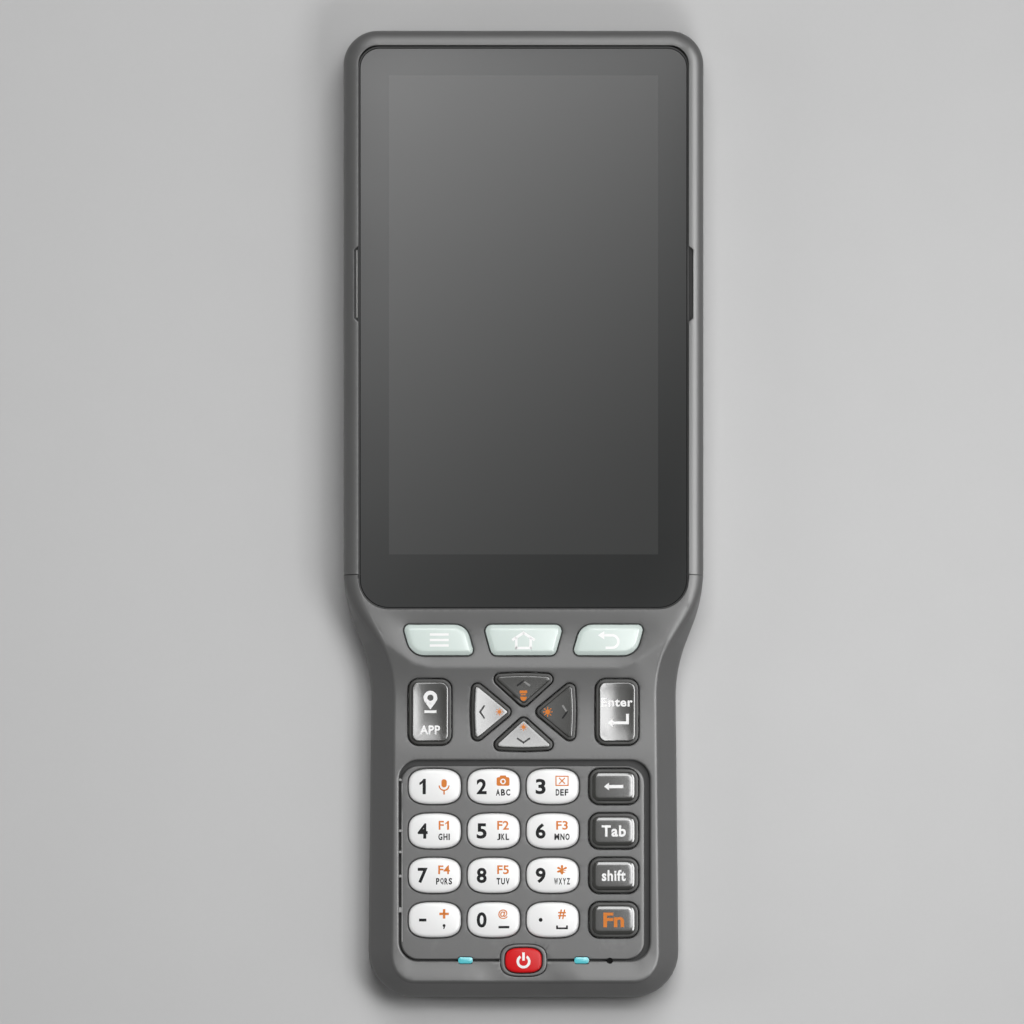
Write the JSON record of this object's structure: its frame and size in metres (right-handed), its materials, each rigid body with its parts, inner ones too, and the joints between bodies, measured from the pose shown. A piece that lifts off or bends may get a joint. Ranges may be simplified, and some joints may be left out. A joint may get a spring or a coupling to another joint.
{
  "type": "survey data collector",
  "caption": "Handheld survey data collector: tall touch display in a rounded frame over a waisted grip with function keys, an arrow pad, number keys and a power key.",
  "frame": {"origin": "middle of the width and of the length, on the plane of the back face", "axes": "+X to the user's right, +Y towards the top of the display, +Z out of the display"},
  "size_m": [0.0834, 0.2238, 0.0212],
  "materials": {
    "housing": "fine moulded texture, satin",
    "frame": "smooth satin moulding",
    "cover_glass": "polished, black printed border",
    "panel": "unlit display",
    "seal": "soft black",
    "steel": "plain",
    "circuit_board": "solder mask",
    "ceramic": "fired, matt",
    "black_plastic": "matt",
    "lens": "polished dark",
    "diffuser": "milky",
    "battery": "black wrap",
    "cover_rubber": "soft matt",
    "membrane": "translucent silicone",
    "white_key": "satin white",
    "dark_key": "glossy graphite",
    "pale_key": "milky pale green",
    "red_key": "glossy red",
    "light_window": "clear cyan"
  },
  "bodies": {
    "housing": {"front_housing": "housing", "rear_housing": "housing", "display_frame": "frame", "keypad_inlay": "housing", "power_collar": "housing", "housing_gasket": "seal", "housing_screws": "steel", "cover_glass": "cover_glass", "glass_adhesive": "seal", "display_panel": "panel", "chassis_plate": "steel", "status_windows": "light_window", "keypad_membrane": "membrane", "dome_switches": "steel", "keypad_board": "circuit_board", "board_screws": "steel", "main_board": "circuit_board", "shield_cans": "steel", "satellite_antenna": "ceramic", "camera_module": "black_plastic", "camera_window": "lens", "flash_window": "diffuser", "speaker": "black_plastic", "battery_pack": "battery", "usb_socket": "steel", "usb_board": "circuit_board", "port_cover_pin": "steel", "card_socket": "steel", "card_cover_pin": "steel", "side_switches": "black_plastic"},
    "key_1": {"key_1": "white_key"},
    "key_2": {"key_2": "white_key"},
    "key_3": {"key_3": "white_key"},
    "key_4": {"key_4": "white_key"},
    "key_5": {"key_5": "white_key"},
    "key_6": {"key_6": "white_key"},
    "key_7": {"key_7": "white_key"},
    "key_8": {"key_8": "white_key"},
    "key_9": {"key_9": "white_key"},
    "key_minus": {"key_minus": "white_key"},
    "key_0": {"key_0": "white_key"},
    "key_dot": {"key_dot": "white_key"},
    "key_backspace": {"key_backspace": "dark_key"},
    "key_tab": {"key_tab": "dark_key"},
    "key_shift": {"key_shift": "dark_key"},
    "key_fn": {"key_fn": "dark_key"},
    "key_right": {"key_right": "dark_key"},
    "key_up": {"key_up": "dark_key"},
    "key_left": {"key_left": "dark_key"},
    "key_down": {"key_down": "dark_key"},
    "key_app": {"key_app": "dark_key"},
    "key_enter": {"key_enter": "dark_key"},
    "key_menu": {"key_menu": "pale_key"},
    "key_home": {"key_home": "pale_key"},
    "key_back": {"key_back": "pale_key"},
    "key_power": {"key_power": "red_key"},
    "side_key_left": {"side_key_left": "frame"},
    "side_key_right": {"side_key_right": "frame"},
    "port_cover": {"port_cover": "cover_rubber"},
    "card_cover": {"card_cover": "cover_rubber"}
  },
  "joints": [
    {"name": "key_1_press", "type": "slide", "parent": "housing", "child": "key_1", "axis": [0, 0, -1], "range_m": [0, 0.0008], "stiffness_N_per_m": 1000},
    {"name": "key_2_press", "type": "slide", "parent": "housing", "child": "key_2", "axis": [0, 0, -1], "range_m": [0, 0.0008], "stiffness_N_per_m": 1000},
    {"name": "key_3_press", "type": "slide", "parent": "housing", "child": "key_3", "axis": [0, 0, -1], "range_m": [0, 0.0008], "stiffness_N_per_m": 1000},
    {"name": "key_4_press", "type": "slide", "parent": "housing", "child": "key_4", "axis": [0, 0, -1], "range_m": [0, 0.0008], "stiffness_N_per_m": 1000},
    {"name": "key_5_press", "type": "slide", "parent": "housing", "child": "key_5", "axis": [0, 0, -1], "range_m": [0, 0.0008], "stiffness_N_per_m": 1000},
    {"name": "key_6_press", "type": "slide", "parent": "housing", "child": "key_6", "axis": [0, 0, -1], "range_m": [0, 0.0008], "stiffness_N_per_m": 1000},
    {"name": "key_7_press", "type": "slide", "parent": "housing", "child": "key_7", "axis": [0, 0, -1], "range_m": [0, 0.0008], "stiffness_N_per_m": 1000},
    {"name": "key_8_press", "type": "slide", "parent": "housing", "child": "key_8", "axis": [0, 0, -1], "range_m": [0, 0.0008], "stiffness_N_per_m": 1000},
    {"name": "key_9_press", "type": "slide", "parent": "housing", "child": "key_9", "axis": [0, 0, -1], "range_m": [0, 0.0008], "stiffness_N_per_m": 1000},
    {"name": "key_minus_press", "type": "slide", "parent": "housing", "child": "key_minus", "axis": [0, 0, -1], "range_m": [0, 0.0008], "stiffness_N_per_m": 1000},
    {"name": "key_0_press", "type": "slide", "parent": "housing", "child": "key_0", "axis": [0, 0, -1], "range_m": [0, 0.0008], "stiffness_N_per_m": 1000},
    {"name": "key_dot_press", "type": "slide", "parent": "housing", "child": "key_dot", "axis": [0, 0, -1], "range_m": [0, 0.0008], "stiffness_N_per_m": 1000},
    {"name": "key_backspace_press", "type": "slide", "parent": "housing", "child": "key_backspace", "axis": [0, 0, -1], "range_m": [0, 0.0008], "stiffness_N_per_m": 1000},
    {"name": "key_tab_press", "type": "slide", "parent": "housing", "child": "key_tab", "axis": [0, 0, -1], "range_m": [0, 0.0008], "stiffness_N_per_m": 1000},
    {"name": "key_shift_press", "type": "slide", "parent": "housing", "child": "key_shift", "axis": [0, 0, -1], "range_m": [0, 0.0008], "stiffness_N_per_m": 1000},
    {"name": "key_fn_press", "type": "slide", "parent": "housing", "child": "key_fn", "axis": [0, 0, -1], "range_m": [0, 0.0008], "stiffness_N_per_m": 1000},
    {"name": "key_right_press", "type": "slide", "parent": "housing", "child": "key_right", "axis": [0, 0, -1], "range_m": [0, 0.0008], "stiffness_N_per_m": 1000},
    {"name": "key_up_press", "type": "slide", "parent": "housing", "child": "key_up", "axis": [0, 0, -1], "range_m": [0, 0.0008], "stiffness_N_per_m": 1000},
    {"name": "key_left_press", "type": "slide", "parent": "housing", "child": "key_left", "axis": [0, 0, -1], "range_m": [0, 0.0008], "stiffness_N_per_m": 1000},
    {"name": "key_down_press", "type": "slide", "parent": "housing", "child": "key_down", "axis": [0, 0, -1], "range_m": [0, 0.0008], "stiffness_N_per_m": 1000},
    {"name": "key_app_press", "type": "slide", "parent": "housing", "child": "key_app", "axis": [0, 0, -1], "range_m": [0, 0.0008], "stiffness_N_per_m": 1000},
    {"name": "key_enter_press", "type": "slide", "parent": "housing", "child": "key_enter", "axis": [0, 0, -1], "range_m": [0, 0.0008], "stiffness_N_per_m": 1000},
    {"name": "key_menu_press", "type": "slide", "parent": "housing", "child": "key_menu", "axis": [0, 0, -1], "range_m": [0, 0.0008], "stiffness_N_per_m": 1000},
    {"name": "key_home_press", "type": "slide", "parent": "housing", "child": "key_home", "axis": [0, 0, -1], "range_m": [0, 0.0008], "stiffness_N_per_m": 1000},
    {"name": "key_back_press", "type": "slide", "parent": "housing", "child": "key_back", "axis": [0, 0, -1], "range_m": [0, 0.0008], "stiffness_N_per_m": 1000},
    {"name": "key_power_press", "type": "slide", "parent": "housing", "child": "key_power", "axis": [0, 0, -1], "range_m": [0, 0.0008], "stiffness_N_per_m": 1000},
    {"name": "side_key_left_press", "type": "slide", "parent": "housing", "child": "side_key_left", "axis": [1, 0, 0], "range_m": [0, 0.0005], "stiffness_N_per_m": 1200},
    {"name": "side_key_right_press", "type": "slide", "parent": "housing", "child": "side_key_right", "axis": [-1, 0, 0], "range_m": [0, 0.0005], "stiffness_N_per_m": 1200},
    {"name": "port_cover_hinge", "type": "hinge", "parent": "housing", "child": "port_cover", "pos_m": [0, -0.11053, 0.0062], "axis": [-1, 0, 0], "range_deg": [0, 90]},
    {"name": "card_cover_hinge", "type": "hinge", "parent": "housing", "child": "card_cover", "pos_m": [-0.04025, 0.01004, 0.0062], "axis": [0, 1, 0], "range_deg": [0, 90]}
  ]
}
